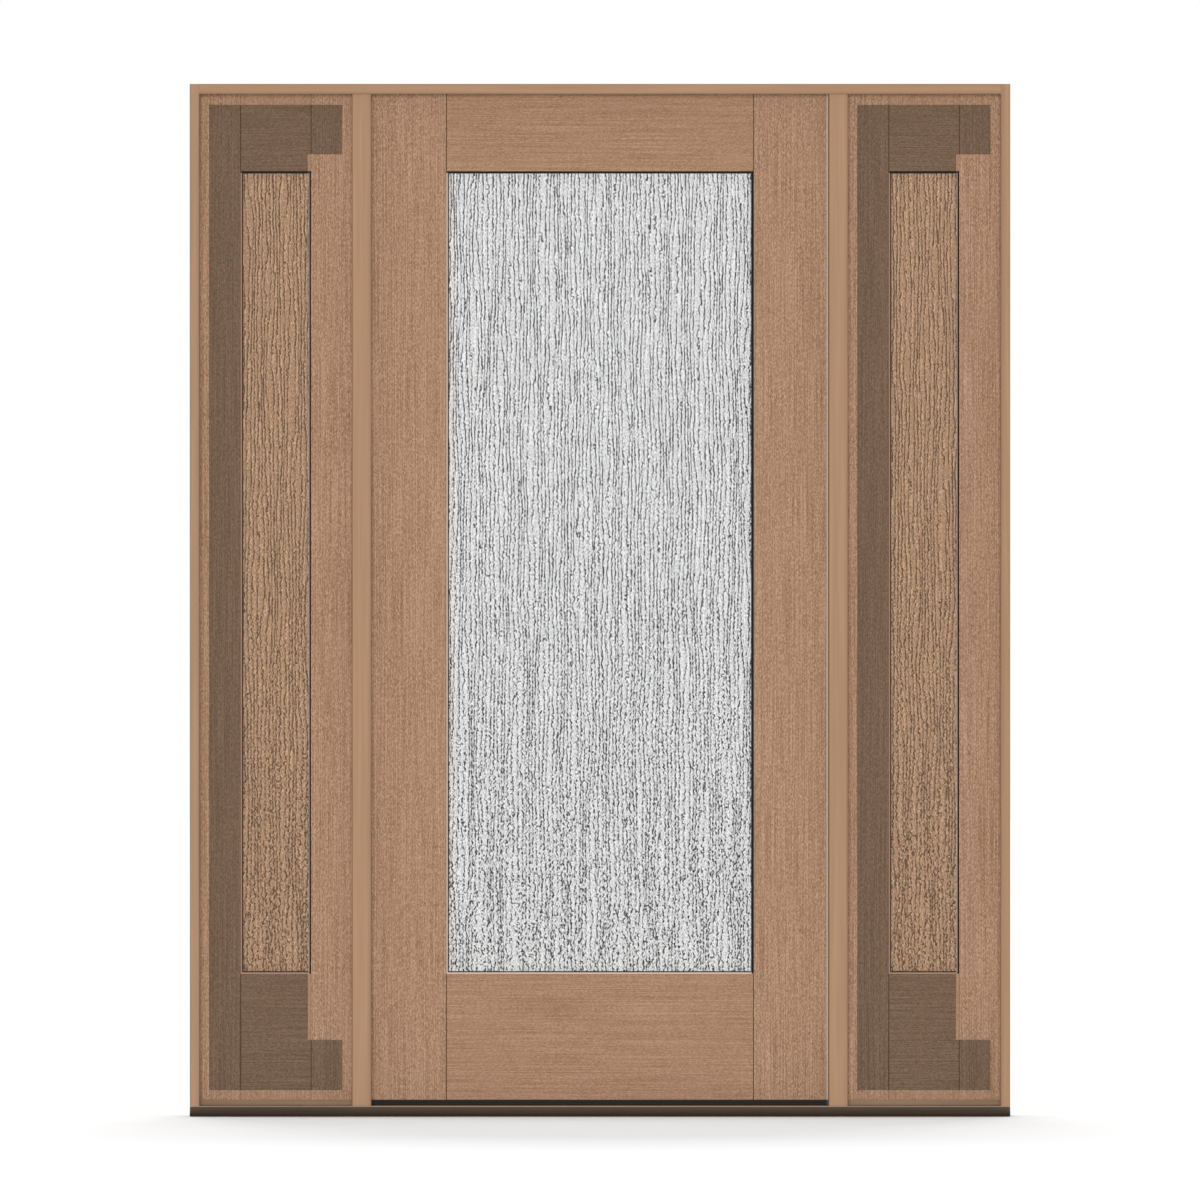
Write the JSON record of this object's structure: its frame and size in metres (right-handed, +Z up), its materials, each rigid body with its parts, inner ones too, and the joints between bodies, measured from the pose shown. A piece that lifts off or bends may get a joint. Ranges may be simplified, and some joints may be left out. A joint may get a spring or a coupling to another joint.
{
  "type": "entry door with sidelights",
  "caption": "Hinged full-light entry door with a fixed glazed sidelight on each side, in a stained timber frame over a sloped metal sill.",
  "frame": {"origin": "middle of the sill's underside, half way through the depth of the jambs", "axes": "+X to the right seen from outside, +Y from outside into the room, +Z up"},
  "size_m": [1.628, 0.1556, 2.048],
  "materials": {
    "frame_wood": "smooth satin tan stain",
    "door_wood": "satin tan stain over fine grain",
    "sidelight_wood": "satin tan stain over fine grain, with a darker stained field",
    "base_wood": "satin brown stain",
    "door_glass": "patterned rain glass",
    "sidelight_glass": "bronze patterned rain glass",
    "gasket": "matte black",
    "sweep": "matte black, ribbed",
    "seal": "matte pale grey",
    "sill_metal": "dark bronze anodised",
    "sill_core": "matte dark brown composite",
    "hinge_metal": "satin dark bronze"
  },
  "bodies": {
    "frame": {"head_jamb": "frame_wood", "head_seal": "seal", "hinge_seal": "seal", "left_jamb": "frame_wood", "left_mullion": "frame_wood", "left_sidelight_base": "base_wood", "left_sidelight_beads": "sidelight_wood", "left_sidelight_bottom_rail": "sidelight_wood", "left_sidelight_gaskets": "gasket", "left_sidelight_glass": "sidelight_glass", "left_sidelight_left_stile": "sidelight_wood", "left_sidelight_right_stile": "sidelight_wood", "left_sidelight_top_rail": "sidelight_wood", "lock_seal": "seal", "lower_hinge_frame_leaf": "hinge_metal", "lower_hinge_pin": "hinge_metal", "middle_hinge_frame_leaf": "hinge_metal", "middle_hinge_pin": "hinge_metal", "right_jamb": "frame_wood", "right_mullion": "frame_wood", "right_sidelight_base": "base_wood", "right_sidelight_beads": "sidelight_wood", "right_sidelight_bottom_rail": "sidelight_wood", "right_sidelight_gaskets": "gasket", "right_sidelight_glass": "sidelight_glass", "right_sidelight_left_stile": "sidelight_wood", "right_sidelight_right_stile": "sidelight_wood", "right_sidelight_top_rail": "sidelight_wood", "sill_substrate": "sill_core", "sill_tread": "sill_metal", "upper_hinge_frame_leaf": "hinge_metal", "upper_hinge_pin": "hinge_metal"},
    "door": {"door_beads": "door_wood", "door_bottom_rail": "door_wood", "door_gaskets": "gasket", "door_glass": "door_glass", "door_hinge_stile": "door_wood", "door_lock_stile": "door_wood", "door_sweep": "sweep", "door_top_rail": "door_wood", "lower_hinge_door_leaf": "hinge_metal", "middle_hinge_door_leaf": "hinge_metal", "upper_hinge_door_leaf": "hinge_metal"}
  },
  "joints": [
    {"name": "door_hinge", "type": "hinge", "parent": "frame", "child": "door", "pos_m": [-0.4615, 0.0646, 1.032], "axis": [0, 0, 1], "range_deg": [0, 110]}
  ]
}
